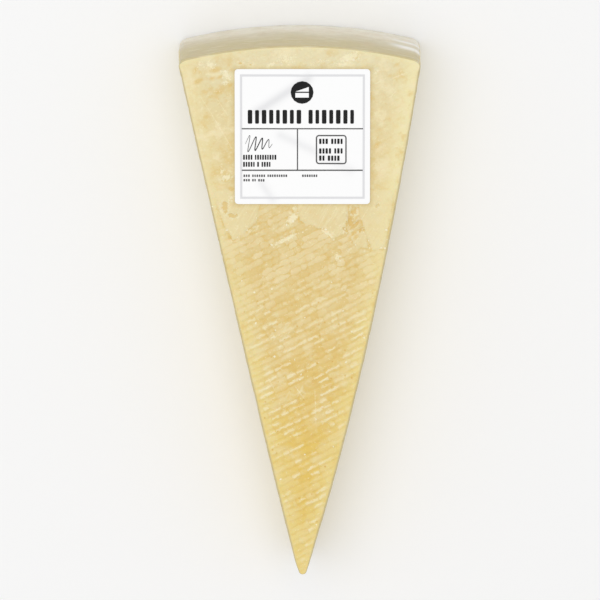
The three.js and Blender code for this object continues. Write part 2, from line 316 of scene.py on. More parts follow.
class Nodes:
    """A node tree being wired, a shader's or a modifier's."""

    def __init__(self, tree):
        self.tree = tree

    def add(self, kind, settings=None, inputs=None, output=0):
        """Adds a node, sets what it is and then its sockets, and gives the output or outputs asked for."""
        node = self.tree.nodes.new(kind)
        for name, value in (settings or {}).items():
            if name == "stops":
                set_stops(node.color_ramp, value)
            else:
                setattr(node, name, value)
        for key, value in (inputs or {}).items():
            socket = pick(node.inputs, key)
            if isinstance(value, Wire):
                self.tree.links.new(value.socket, socket)
            else:
                socket.default_value = value
        if isinstance(output, tuple):
            return [Wire(self, pick(node.outputs, key)) for key in output]
        return Wire(self, pick(node.outputs, output))

    def maths(self, operation, *values):
        return self.add("ShaderNodeMath", {"operation": operation}, dict(enumerate(values)))

    def vector(self, operation, first, second):
        key = "Scale" if operation == "SCALE" else 1
        return self.add("ShaderNodeVectorMath", {"operation": operation}, {0: first, key: second})

    def vector_length(self, vector):
        return self.add("ShaderNodeVectorMath", {"operation": "LENGTH"}, {0: vector}, "Value")

    def split(self, vector):
        return self.add("ShaderNodeSeparateXYZ", None, {0: vector}, (0, 1, 2))

    def join(self, x, y, z=0.0):
        return self.add("ShaderNodeCombineXYZ", None, {0: x, 1: y, 2: z})

    def rise(self, value, low, high):
        """From 0 where the value is low to 1 where it is high, smoothly; low may be above high."""
        return self.add("ShaderNodeMapRange", {"interpolation_type": "SMOOTHSTEP"},
                        {"Value": value, "From Min": low, "From Max": high})

    def noise(self, vector, detail=2.0, roughness=0.5):
        return self.add("ShaderNodeTexNoise", {"noise_dimensions": "3D"},
                        {"Vector": vector, "Scale": 1.0, "Detail": detail, "Roughness": roughness})

    def swell(self, vector, to_a_mm, detail=2.0, roughness=0.5):
        """Noise with so many swells to a millimetre."""
        return self.noise(self.vector("SCALE", vector, to_a_mm), detail, roughness)

    def place(self):
        """Where a point of the piece is, in millimetres."""
        if self.tree.type == "GEOMETRY":
            at = self.add("GeometryNodeInputPosition")
        else:
            at = self.add("ShaderNodeTexCoord", None, None, "Object")
        return self.vector("SCALE", at, PER_MM)

    def mix(self, share, first, second):
        """One colour turning into another."""
        return self.add("ShaderNodeMix", {"data_type": "RGBA"},
                        {"Factor_Float": share, "A_Color": opaque(first), "B_Color": opaque(second)},
                        "Result_Color")


def opaque(colour):
    """A colour property with the alpha that a colour socket wants; a wire stays as it is."""
    return colour if isinstance(colour, Wire) else (*colour, 1.0)


def set_stops(ramp, stops):
    while len(ramp.elements) < len(stops):
        ramp.elements.new(1.0)
    for element, (position, colour) in zip(ramp.elements, stops):
        element.position = position
        element.color = opaque(colour)


def along_wire(x, y, turn=WIRE_TURN):
    """A place measured along and across a direction."""
    c = math.cos(math.radians(turn))
    s = math.sin(math.radians(turn))
    return x * c + y * s, y * c - x * s


def over_surface(nodes, place, flat):
    """A place whose first two numbers run over the flat faces, or along and up the long cuts."""
    x, y, z = nodes.split(place)
    return nodes.add("ShaderNodeMix", {"data_type": "VECTOR"},
                     {"Factor_Float": nodes.rise(flat, 0.45, 0.55), "A_Vector": nodes.join(y, z, x),
                      "B_Vector": place}, "Result_Vector")


def curd_chips(nodes, place, straight, pitch, length):
    """The rows of chips along the wire's way: how far off its row's middle and off its chip's middle
    a place is, from -0.5 to 0.5, and two random numbers of the chip."""
    wander = 1 - straight * 0.45
    for scale, reach in ((0.42, 1.5), (1.1, 0.75)):
        at = nodes.vector("SCALE", place, scale)
        warp = nodes.add("ShaderNodeTexNoise", {"noise_dimensions": "3D"},
                         {"Vector": at, "Scale": 1.0, "Detail": 1.0}, "Color")
        shift = nodes.vector("SCALE", nodes.vector("SUBTRACT", warp, (0.5, 0.5, 0.5)), wander * reach)
        place = nodes.vector("ADD", place, shift)
    x, y, _ = nodes.split(place)
    along, across = along_wire(x, y)
    row_at = across / pitch
    row = nodes.maths("ROUND", row_at)
    stagger = nodes.noise(nodes.join(along * 0.16, row * 5.31, 8.2), 1.0)
    chip_at = along / length + row * 0.617 + (stagger - 0.5) * 3.0
    chip = nodes.maths("FLOOR", chip_at)
    first, second, _ = nodes.split(nodes.add(
        "ShaderNodeTexWhiteNoise", {"noise_dimensions": "2D"}, {"Vector": nodes.join(chip, row)}, "Color"))
    return row_at - row, chip_at - chip - 0.5, first, second


def scratch_strength(nodes, x, y, scratch):
    """1 on a scratch and 0 off it, thinning out towards its end."""
    along, across = along_wire(x - scratch.x, y - scratch.y, scratch.turn)
    share = along / scratch.length
    on_line = nodes.rise(abs(across), scratch.half_width, 0.05)
    return on_line * nodes.rise(share, 0.0, 0.15) * nodes.rise(share, 1.0, 0.5)


# ---- Meshes ----

def mesh_object(name, points, faces, material):
    """A new object at the origin, with its place in its mesh."""
    mesh = bpy.data.meshes.new(name)
    mesh.from_pydata(np.asarray(points, dtype=float).tolist(), [], faces)
    mesh.update()
    mesh.shade_smooth()
    mesh.materials.append(material)
    piece = bpy.data.objects.new(name, mesh)
    bpy.context.scene.collection.objects.link(piece)
    return piece


def settle(piece):
    """Turns what a piece's modifiers make into its own plain mesh."""
    depsgraph = bpy.context.evaluated_depsgraph_get()
    mesh = bpy.data.meshes.new_from_object(piece.evaluated_get(depsgraph), preserve_all_data_layers=True,
                                           depsgraph=depsgraph)
    piece.modifiers.clear()
    piece.data = mesh
    if not mesh.polygons:
        raise RuntimeError(f"{piece.name} came out empty")


def add_node_modifier(piece, tree, values):
    """Puts a node tree on a piece and sets the tree's named inputs."""
    modifier = piece.modifiers.new(tree.name, "NODES")
    modifier.node_group = tree
    for item in tree.interface.items_tree:
        if item.item_type == "SOCKET" and item.in_out == "INPUT" and item.name in values:
            modifier[item.identifier] = values[item.name]


def geometry_tree(name, sizes):
    """A modifier's node tree, its wiring, and a wire for each named size and for the material."""
    tree = bpy.data.node_groups.new(name, "GeometryNodeTree")
    tree.interface.new_socket("Geometry", in_out="OUTPUT", socket_type="NodeSocketGeometry")
    kinds = {"Geometry": "NodeSocketGeometry", **dict.fromkeys(sizes, "NodeSocketFloat"),
             "Material": "NodeSocketMaterial"}
    for label, kind in kinds.items():
        tree.interface.new_socket(label, in_out="INPUT", socket_type=kind)
    nodes = Nodes(tree)
    wires = nodes.add("NodeGroupInput", None, None, tuple(kinds))
    return tree, nodes, dict(zip(kinds, wires))


# ---- The wedge's blank ----

# Points on a curve before it is spaced evenly, and on the quarter turn at the tip.
CURVE_POINTS = 400
TIP_POINTS = 60
# Spacing along the rind, in facets of the upper face.
RIND_FACETS = 1.1


def resample(points, count):
    """Points spaced evenly along a line of points."""
    points = np.asarray(points)
    steps = np.r_[0, np.cumsum(np.hypot(*np.diff(points, axis=0).T))]
    wanted = np.linspace(0, steps[-1], count + 1)
    return np.c_[np.interp(wanted, steps, points[:, 0]), np.interp(wanted, steps, points[:, 1])]


def bezier(start, control, end, low=0.0, high=1.0):
    """A stretch of a quadratic curve, as close points."""
    t = np.linspace(low, high, CURVE_POINTS)[:, None]
    return (1 - t) ** 2 * start + 2 * t * (1 - t) * control + t ** 2 * end


class Outline:
    """The wedge from above: a long cut up each side from the tip, and the rind from right to left."""

    def __init__(self, shape):
        self.shape = shape
        self.wheel_centre = shape.length / 2 - shape.wheel_radius
        right, right_rind = self.side(1, shape.right_bow, shape.right_bow_at)
        left, left_rind = self.side(-1, shape.left_bow, shape.left_bow_at)
        steps = round(float(np.hypot(*np.diff(right, axis=0).T).sum()) / shape.facet)
        self.right = resample(right, steps)
        self.left = resample(left, steps)
        angles = np.linspace(self.angle_of(right_rind[-1]), self.angle_of(left_rind[-1]), CURVE_POINTS)
        arc = np.c_[np.cos(angles), np.sin(angles)] * shape.wheel_radius + (0, self.wheel_centre)
        rind = np.r_[right_rind[:-1], arc, left_rind[::-1][1:]]
        self.rind = resample(rind, round(shape.width / (RIND_FACETS * shape.facet)))
        self.loop = np.r_[self.right[:-1], self.rind[:-1], self.left[:0:-1]]
        rind_part = np.zeros(len(self.loop))
        rind_part[len(self.right) - 1:len(self.right) + len(self.rind) - 1] = 1
        self.rind_part = rind_part

    def rind_y(self, x):
        return self.wheel_centre + np.sqrt(self.shape.wheel_radius ** 2 - x ** 2)

    def angle_of(self, point):
        return math.atan2(point[1] - self.wheel_centre, point[0])

    def side(self, hand, bow, bow_at):
        """One long cut from the tip's middle to the middle of its rind corner, and the corner's rest."""
        shape = self.shape
        tip_centre = np.array([shape.tip_x, shape.tip_radius - shape.length / 2])
        turn = np.linspace(0, math.pi / 2, TIP_POINTS)
        tip_arc = tip_centre + shape.tip_radius * np.c_[hand * np.sin(turn), -np.cos(turn)]
        tip = tip_arc[-1]
        corner_x = hand * shape.width / 2
        corner = np.array([corner_x, self.rind_y(corner_x)])
        outward = hand * np.array([corner[1] - tip[1], tip[0] - corner[0]])
        control = tip + bow_at * (corner - tip) + 2 * bow * outward / np.hypot(*outward)
        back = control - corner
        cut_end = corner + back * shape.corner_radius / np.hypot(*back)
        rind_x = corner_x - hand * shape.corner_radius
        rind_end = np.array([rind_x, self.rind_y(rind_x)])
        cut = bezier(tip, control, cut_end)
        first_half = bezier(cut_end, corner, rind_end, 0, 0.5)
        second_half = bezier(cut_end, corner, rind_end, 0.5, 1)
        return np.r_[tip_arc, cut[1:], first_half[1:]], second_half


def smoothstep(value, low, high):
    t = np.clip((value - low) / (high - low), 0, 1)
    return t * t * (3 - 2 * t)


class Blank:
    """The smooth wedge: rings from the lower face up the sides to the upper one, and the two flat faces."""

    FOOT_STEPS = 3
    WALL_STEPS = 27
    EDGE_STEPS = 6
    UNDER_FACET = 1.4 * MM
    CORNER_BLEND = (0.6, 0.95)
    RIND_UP_TO = 0.8

    def __init__(self, shape):
        self.shape = shape
        self.outline = Outline(shape)
        loop = self.outline.loop
        before = np.roll(loop, 1, axis=0)
        after = np.roll(loop, -1, axis=0)
        inward = np.c_[before[:, 1] - after[:, 1], after[:, 0] - before[:, 0]]
        self.inward = inward / np.hypot(*inward.T)[:, None]
        way = (loop[:, 1] - shape.barrel_from) / (self.outline.rind_y(loop[:, 0]) - shape.barrel_from)
        self.barrel_share = np.clip(way, 0, 1)
        on_rind = smoothstep(self.barrel_share, *self.CORNER_BLEND)
        off_tip = smoothstep(loop[:, 1] + shape.length / 2, 0, shape.tip_taper)
        cut_round = shape.tip_round + (shape.edge_round - shape.tip_round) * off_tip
        self.upper_round = cut_round + (shape.rind_round - cut_round) * on_rind
        self.points = []
        self.faces = []
        self.fields = {"top": [], "under": [], "rind": [], "edge": []}

    def ring(self, z, inset):
        """The outline at one height, drawn in by the barrelled rind and by the rounding of the edges."""
        shape = self.shape
        upper = shape.rind_lean * ((z - shape.rind_widest) / (shape.thickness - shape.rind_widest)) ** 2
        lower = shape.rind_foot * ((shape.rind_widest - z) / shape.rind_widest) ** 2
        barrel = np.where(z > shape.rind_widest, upper, lower)
        shrink = 1 - self.barrel_share * barrel / shape.wheel_radius
        centre = np.array([0, self.outline.wheel_centre])
        flat = centre + (self.outline.loop - centre) * shrink[:, None] + self.inward * np.c_[inset, inset]
        return np.c_[flat, z]

    def add_points(self, points, top, under, rind, edge):
        start = sum(len(block) for block in self.points)
        self.points.append(points)
        for name, value in (("top", top), ("under", under), ("rind", rind), ("edge", edge)):
            self.fields[name].append(np.broadcast_to(value, len(points)).astype(float))
        return start

    def add_rings(self):
        """The sides: the rounded foot, the wall and the rounded upper edge."""
        shape = self.shape
        one = np.ones(len(self.outline.loop))
        foot = shape.foot_round
        rings = []
        for angle in np.linspace(0, math.pi / 2, self.FOOT_STEPS + 1):
            rings.append((one * foot * (1 - math.cos(angle)), one * foot * (1 - math.sin(angle)), 0.0))
        for share in np.linspace(0, 1, self.WALL_STEPS + 1)[1:-1]:
            rings.append((foot + (shape.thickness - self.upper_round - foot) * share, 0 * one, 0.0))
        for angle in np.linspace(0, math.pi / 2, self.EDGE_STEPS + 1):
            height = shape.thickness - self.upper_round * (1 - math.sin(angle))
            rings.append((height, self.upper_round * (1 - math.cos(angle)), math.sin(angle) ** 4))
        self.ring_starts = []
        for number, (z, inset, top) in enumerate(rings):
            under = 1.0 if number == 0 else 0.0
            rind = self.outline.rind_part * (1 if top < self.RIND_UP_TO else 0)
            self.ring_starts.append(self.add_points(self.ring(z, inset), top, under, rind, inset))
        count = len(self.outline.loop)
        for low, high in zip(self.ring_starts, self.ring_starts[1:]):
            for k in range(count):
                after = (k + 1) % count
                self.faces.append((low + k, low + after, high + after, high + k))

    def add_face(self, ring_start, facet, upwards):
        """One flat face: rows from cut to cut that bend more and more like the rind, stitched together."""
        ring = np.concatenate(self.points)[ring_start:ring_start + len(self.outline.loop)]
        steps = len(self.outline.right) - 1
        rind_steps = len(self.outline.rind) - 1
        right = ring[:steps + 1]
        left = np.r_[ring[:1], ring[:steps + rind_steps - 1:-1]]
        bulge = ring[steps + rind_steps // 2, 1] - ring[steps, 1]
        spans = [([ring_start], [0.5])]
        for row in range(1, steps):
            reach = right[row] - left[row]
            inner = max(0, round(reach[0] / facet) - 1)
            share = np.linspace(0, 1, inner + 2)
            arch = bulge * (row / steps) ** 4 * (1 - (2 * share - 1) ** 2)
            line = left[row] + share[:, None] * reach + np.c_[0 * arch, arch, 0 * arch]
            inside = line[1:-1]
            start = self.add_points(inside, float(upwards), float(not upwards), 0.0, 0.0)
            ids = [ring_start + len(ring) - row, *range(start, start + inner), ring_start + row]
            spans.append((ids, share))
        last = [ring_start + steps + k for k in range(rind_steps, -1, -1)]
        spans.append((last, np.linspace(0, 1, len(last))))
        for (lower, lower_at), (upper, upper_at) in zip(spans, spans[1:]):
            self.stitch(lower, lower_at, upper, upper_at, upwards)

    def stitch(self, lower, lower_at, upper, upper_at, upwards):
        """Triangles between two rows of points that run from left to right."""
        i = 0
        j = 0
        while i < len(lower) - 1 or j < len(upper) - 1:
            next_lower = lower_at[i + 1] if i < len(lower) - 1 else math.inf
            next_upper = upper_at[j + 1] if j < len(upper) - 1 else math.inf
            if next_lower < next_upper:
                face = (lower[i], lower[i + 1], upper[j])
                i += 1
            else:
                face = (lower[i], upper[j + 1], upper[j])
                j += 1
            self.faces.append(face if upwards else face[::-1])

    def build(self, material):
        self.add_rings()
        self.add_face(self.ring_starts[0], self.UNDER_FACET, False)
        self.add_face(self.ring_starts[-1], self.shape.facet, True)
        points = np.concatenate(self.points)
        fields = {name: np.concatenate(blocks) for name, blocks in self.fields.items()}
        fields["edge"] = self.distance_to_cuts(points, fields["top"] + fields["under"], fields["edge"])
        x = points[:, 0] * PER_MM
        y = points[:, 1] * PER_MM
        fields["smear"] = np.min([patch_distance(x, y, corners) for corners in SMEARS], axis=0)
        for name, spots in (("pit", TORN_PITS), ("stain", STAINS), ("crumb", CRUMBS)):
            fields[name] = np.max([spot_level(x, y, spot) for spot in spots], axis=0)
        piece = mesh_object("cheese_wedge", points, self.faces, material)
        for name, values in fields.items():
            attribute = piece.data.attributes.new(name, "FLOAT", "POINT")
            attribute.data.foreach_set("value", values.astype(np.float32))
        return piece

    def distance_to_cuts(self, points, flat, ring_inset):
        """How far a place on the upper or the lower face is from the nearest long cut."""
        cuts = np.r_[self.outline.right[::2], self.outline.left[::2]]
        distance = ring_inset.copy()
        for number in np.flatnonzero(flat > 0):
            gap = cuts - points[number, :2]
            distance[number] = math.sqrt((gap * gap).sum(axis=1).min())
        return distance


def patch_distance(x, y, corners):
    """How far outside a patch with straight sides a place is, in millimetres."""
    past = []
    for (x0, y0), (x1, y1) in zip(corners, corners[1:] + corners[:1]):
        past.append(((x - x0) * (y1 - y0) - (y - y0) * (x1 - x0)) / math.hypot(x1 - x0, y1 - y0))
    return np.max(past, axis=0)


def spot_level(x, y, spot):
    """The spot's strength at its middle, half of that on its rim, and 0 where it ends."""
    along, across = along_wire(x - spot.x, y - spot.y, spot.turn)
    reach = np.hypot(along / spot.along, across / spot.across)
    return spot.amount * np.clip(1 - reach / 2, 0, 1)


# ---- The wedge's relief ----

# The relief's inputs, by the properties that set them.
RELIEF_SIZES = {"pitch": "Row pitch", "chip": "Chip length", "gap_depth": "Gap depth",
                "drag_height": "Drag height", "smear_height": "Smear height", "crag_size": "Crag size",
                "crag_depth": "Crag depth", "least": "Least carve"}


def relief_tree(wedge_shape):
    """Carves the blank: chips, drag marks, smooth patches and torn pits above, low crags on the cuts."""
    tree, nodes, wires = geometry_tree("cut face relief", RELIEF_SIZES.values())
    mm = {key: wires[name] * PER_MM for key, name in RELIEF_SIZES.items()}
    place = nodes.place()
    x, y, z = nodes.split(place)
    top, under, rind, smear, pit = (named(nodes, name) for name in ("top", "under", "rind", "smear", "pit"))
    coarse = nodes.swell(place, 0.42, 3.0, 0.6)

    # chips and the ridges on their rows
    dragged = nodes.rise(y, 12.0, -8.0)
    flat = nodes.maths("MAXIMUM", top, under)
    over = over_surface(nodes, place, flat)
    off, beside, first, second = curd_chips(nodes, over, dragged, mm["pitch"], mm["chip"])
    gap = nodes.rise(off * off + beside * beside, 0.2, 0.4)
    ridge = (nodes.rise(abs(off - 0.05), 0.32, 0.04) * nodes.rise(first, 0.3, 0.85)
             * nodes.rise(abs(beside), 0.5, 0.3))

    # smooth patches, and the smooth paste round the label
    smooth = nodes.rise(smear + (coarse - 0.5) * 3.0, 0.3, -0.3)
    calm = nodes.rise(y + (coarse - 0.5) * 6, 30.0, 37.0)
    quiet = 1 - nodes.maths("MAXIMUM", smooth, calm * 0.75)

    # torn pits
    torn = nodes.rise(pit + (coarse - 0.5) * 0.5, 0.12, 0.35)

    lump = nodes.swell(place, 0.3, 3.0)
    carve = (mm["least"] + mm["gap_depth"] * quiet * (gap * 0.7 + (1 - second) * 0.3)
             + mm["drag_height"] * dragged * (1 - ridge) + mm["smear_height"] * (1 - smooth) + lump * 0.14
             + torn * 0.28)
    seat = label_distance(nodes, x, y)
    carve = carve * nodes.rise(seat, 0.0, 1.5) + mm["least"] * nodes.rise(seat, 1.5, 0.0)

    # the lower face has drag marks only
    beneath = mm["drag_height"] * (1 - ridge) + mm["gap_depth"] * gap * 0.4

    # crags on the long cuts, a near-smooth rind
    size = mm["crag_size"]
    crag = nodes.noise(nodes.vector("DIVIDE", place, nodes.join(size, size, size * 1.2)), 4.0, 0.6)
    middle = nodes.rise(z, 0.0, 5.0) * nodes.rise(z, wedge_shape.thickness * PER_MM, 25.0)
    grain = gap * 0.5 + (1 - second) * 0.3 + coarse * 0.4
    rough = (crag - 0.42) * mm["crag_depth"] * 1.8 * middle
    side = rough + grain * mm["gap_depth"] * nodes.rise(flat, 0.3, 0.0)
    chipped = nodes.swell(place, 0.28, 3.0, 0.6)
    nick = nodes.rise(chipped, 0.56, 0.72) * nodes.rise(z, 4.0, 0.4) * (1 - under) * 0.9
    swell = nodes.swell(place, 0.1, 1.0)
    film = film_creases(nodes, x, z)
    skin = (swell - 0.5) * 0.3 * middle - film * 0.22
    wall = 1 - flat
    depth = (carve * top + beneath * under + wall * ((side + nick) * (1 - rind) + skin * rind)) * MM
    normal = nodes.add("GeometryNodeInputNormal")
    moved = nodes.add("GeometryNodeSetPosition", None,
                      {"Geometry": wires["Geometry"], "Offset": nodes.vector("SCALE", normal, depth * -1.0)})
    moved = nodes.add("GeometryNodeStoreNamedAttribute", {"data_type": "FLOAT", "domain": "POINT"},
                      {"Geometry": moved, "Name": "film", "Value": film * rind})
    return close_tree(tree, nodes, moved, wires["Material"])


# How far a lump leans on the surface, in radians, and its breadth as a share of its length.
LEAN = 0.35
SLIMMEST = 0.45
WIDEST = 0.9


def scatter_tree(name, where):
    """Strews small lumps over the cut faces; where gives how densely, from 0 to 1."""
    tree, nodes, wires = geometry_tree(name, ("Per square metre", "Smallest", "Largest", "Flatness"))
    points, turned = nodes.add("GeometryNodeDistributePointsOnFaces", {"distribute_method": "RANDOM"},
                               {"Mesh": wires["Geometry"], "Seed": SEED,
                                "Density": where(nodes) * wires["Per square metre"]}, ("Points", "Rotation"))
    lump = nodes.add("GeometryNodeMeshIcoSphere", None, {"Radius": 0.5, "Subdivisions": 1}, "Mesh")
    spin = nodes.add("FunctionNodeRandomValue", {"data_type": "FLOAT_VECTOR"},
                     {"Min": (-LEAN, -LEAN, 0.0), "Max": (LEAN, LEAN, math.tau), "Seed": SEED + 1},
                     "Value")
    turn = nodes.add("FunctionNodeRotateRotation", {"rotation_space": "LOCAL"},
                     {"Rotation": turned, "Rotate By": spin})
    size = nodes.add("FunctionNodeRandomValue", {"data_type": "FLOAT"},
                     {"Min_001": wires["Smallest"], "Max_001": wires["Largest"], "Seed": SEED + 2},
                     "Value_001")
    slim = nodes.add("FunctionNodeRandomValue", {"data_type": "FLOAT"},
                     {"Min_001": SLIMMEST, "Max_001": WIDEST, "Seed": SEED + 3}, "Value_001")
    lumps = nodes.add("GeometryNodeInstanceOnPoints", None,
                      {"Points": points, "Instance": lump, "Rotation": turn,
                       "Scale": nodes.join(size, size * slim, size * wires["Flatness"])})
    faceted = nodes.add("GeometryNodeSetShadeSmooth", None,
                        {"Geometry": nodes.add("GeometryNodeRealizeInstances", None, {"Geometry": lumps}),
                         "Shade Smooth": False})
    return close_tree(tree, nodes, faceted, wires["Material"])


def where_crystals(nodes):
    """On the cut faces that show, most of them half way down the upper one."""
    place = nodes.place()
    x, y, z = nodes.split(place)
    top, under, rind, crumb = (named(nodes, name) for name in ("top", "under", "rind", "crumb"))
    clear = nodes.rise(label_distance(nodes, x, y), 0.9, 1.4)
    busy = nodes.rise(y, 45.0, 20.0) * nodes.rise(y, -75.0, -20.0)
    above = top * clear * (0.08 + 0.92 * busy + crumb * 2.0)
    beside = (1 - top) * nodes.rise(z, 1.0, 1.5) * 0.4
    return (above + beside) * (1 - under) * (1 - rind)


def where_flakes(nodes):
    """On the upper cut face where the paste is torn or crumbly."""
    place = nodes.place()
    x, y, _ = nodes.split(place)
    top, smear, crumb, pit = (named(nodes, name) for name in ("top", "smear", "crumb", "pit"))
    clear = nodes.rise(label_distance(nodes, x, y), 0.8, 1.4)
    torn_edge = nodes.rise(abs(smear), 0.9, 0.2) * nodes.rise(y, 34.0, 31.0)
    spells = nodes.rise(nodes.swell(place, 0.15, 2.0), 0.5, 0.7)
    dragged = nodes.rise(y, 24.0, 8.0) * spells * 0.35
    nearby = nodes.maths("MAXIMUM", torn_edge * 0.6, crumb * 1.6)
    return nodes.maths("MAXIMUM", nearby, dragged) * nodes.rise(pit, 0.3, 0.1) * clear * top


def named(nodes, name):
    """An attribute of the mesh as a value."""
    return nodes.add("GeometryNodeInputNamedAttribute", {"data_type": "FLOAT"}, {"Name": name})


def close_tree(tree, nodes, geometry, material):
    """Ends a tree with plain geometry in one material."""
    plain = nodes.add("GeometryNodeRealizeInstances", None, {"Geometry": geometry})
    painted = nodes.add("GeometryNodeSetMaterial", None, {"Geometry": plain, "Material": material})
    end = tree.nodes.new("NodeGroupOutput")
    tree.links.new(painted.socket, end.inputs["Geometry"])
    return tree


def label_distance(nodes, x, y):
    """How far outside the label a place is, in millimetres."""
    centre = (LABEL_LOW + LABEL_HIGH) * 0.5 * PER_MM
    half = (LABEL_HIGH - LABEL_LOW) * 0.5 * PER_MM
    past_side = abs(x - centre.x) - half.x
    past_end = abs(y - centre.y) - half.y
    return nodes.maths("MAXIMUM", past_side, past_end)


# The film's creases: height on the rind, slope and half width, in millimetres.
FILM_CREASES = ((19.5, 0.2, 3.0), (12.0, 0.15, 2.2))


def film_creases(nodes, x, z):
    """Two soft creases in the clear film, at the right end of the rind."""
    strength = 0.0
    for height, slope, width in FILM_CREASES:
        line = z - height - (x - 33.0) * slope
        crease = nodes.rise(abs(line), width, width * 0.2)
        strength = nodes.maths("MAXIMUM", strength, crease)
    return strength * nodes.rise(x, 25.0, 32.0)


# ---- Materials ----

# How strongly fat, paper and ink bend light.
BENDING = 1.45
# The wedge's half length and the height of its rind, in millimetres, for the slow changes of colour.
HALF_LENGTH = 82.0
RIND_HEIGHT = 30.0


class Coat:
    """A colour that is laid on in layers."""

    def __init__(self, nodes, colour):
        self.nodes = nodes
        self.colour = colour

    def lay(self, share, colour):
        self.colour = self.nodes.mix(share, self.colour, colour)

    def shade(self, factor):
        self.colour = self.nodes.vector("SCALE", self.colour, factor)


def specks(nodes, place, frayed, scale, least, spread):
    """1 inside small holes, in under half of the cells of a loose lattice."""
    away, chance = nodes.add("ShaderNodeTexVoronoi", {"voronoi_dimensions": "3D", "feature": "F1"},
                             {"Vector": place, "Scale": scale, "Randomness": 1.0}, ("Distance", "Color"))
    chosen, breadth, _ = nodes.split(chance)
    return nodes.rise(away + frayed * 0.06, least + breadth * spread, 0.04) * nodes.rise(chosen, 0.55, 0.6)


def shader(name):
    """A new node material and its wiring, with nothing in it yet."""
    material = bpy.data.materials.new(name)
    material.use_nodes = True
    material.node_tree.nodes.clear()
    return material, Nodes(material.node_tree)


def surface(nodes, constants, wired, bump_height, bump_strength, bump_distance):
    """The surface shader, its constants set on its own sockets, and the material's output."""
    bump = nodes.add("ShaderNodeBump", None,
                     {"Strength": bump_strength, "Distance": bump_distance, "Height": bump_height})
    bsdf = nodes.add("ShaderNodeBsdfPrincipled", None, {**constants, **wired, "Normal": bump})
    nodes.add("ShaderNodeOutputMaterial", None, {"Surface": bsdf}, ())


def attribute(nodes, name):
    return nodes.add("ShaderNodeAttribute", {"attribute_type": "GEOMETRY", "attribute_name": name}, None,
                     "Fac")


def rind_skin(nodes, colours, place, blotch, coarse, middling, film):
    """The rind's colour: pale towards its foot, partly its own bloom and partly painted light from the floor
    and the film, with warmer blotches, scuffs and pores.
    """
    x, _, z = nodes.split(place)
    worn = nodes.noise(nodes.vector("MULTIPLY", place, (0.09, 0.09, 0.13)), 3.0, 0.6)
    height = z - x * 0.07 + (worn - 0.5) * 14
    # painted light: the paler foot stands partly for floor light and film reflection, partly for the rind's
    # own bloom
    skin = Coat(nodes, nodes.add("ShaderNodeValToRGB", {"stops": (
        (0.06, colours.rind_lower), (0.3, colours.rind_low_middle), (0.52, colours.rind_high_middle),
        (0.8, colours.rind_upper))}, {0: height / RIND_HEIGHT}))
    skin.lay(nodes.rise(blotch, 0.42, 0.72) * 0.35, colours.rind_warm)
    skin.shade(0.92 + coarse * 0.16)
    scuff = nodes.noise(nodes.vector("MULTIPLY", place, (0.14, 0.14, 1.3)), 3.0, 0.6)
    skin.lay(nodes.rise(scuff, 0.52, 0.7) * 0.35, colours.rind_low_middle)
    skin.lay(nodes.rise(scuff, 0.46, 0.32) * 0.3, colours.rind_warm)
    skin.lay(nodes.rise(middling, 0.6, 0.72) * 0.22, colours.side)
    # painted highlight: the film's creases gleam pale
    skin.lay(film * 0.9, colours.film)
    return skin.colour


